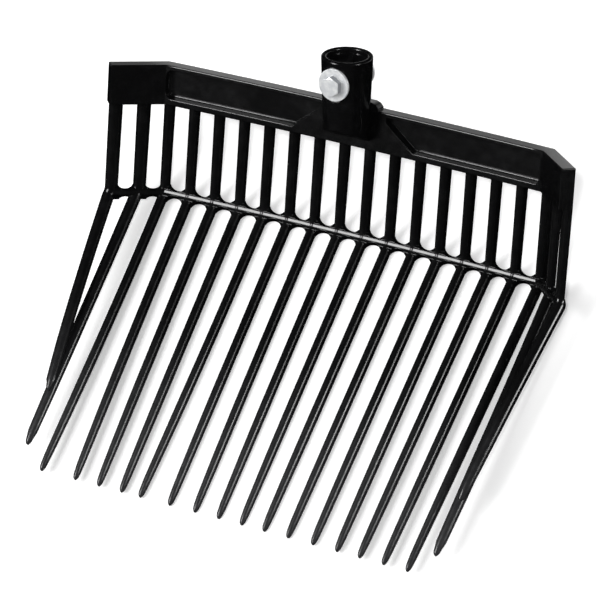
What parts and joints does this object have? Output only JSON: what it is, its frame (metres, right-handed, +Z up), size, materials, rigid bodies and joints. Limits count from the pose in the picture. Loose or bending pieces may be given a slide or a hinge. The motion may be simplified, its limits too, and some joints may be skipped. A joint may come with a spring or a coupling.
{
  "type": "compost fork head",
  "caption": "Moulded head of a compost or bedding fork: long tines that turn up into a ribbed back wall and side wings, with a bolted socket for a handle.",
  "frame": {"origin": "on the floor that the head lies on, under the middle of its outline", "axes": "+X along the rail to the right as seen from the scoop's open side, -Y along the tines to their tips, +Z up out of the scoop"},
  "size_m": [0.3834, 0.3347, 0.122],
  "materials": {
    "black_plastic": "satin, as moulded",
    "zinc_plate": "bright zinc plated"
  },
  "bodies": {
    "head": {"fork_head": "black_plastic", "front_washer": "zinc_plate", "rear_washer": "zinc_plate"},
    "bolt": {"retaining_bolt": "zinc_plate", "lock_nut": "zinc_plate"}
  },
  "joints": [
    {"name": "bolt_turn", "type": "hinge", "parent": "head", "child": "bolt", "pos_m": [0, 0.14315, 0.09792], "axis": [0, -0.7145, 0.6997], "continuous": true}
  ]
}
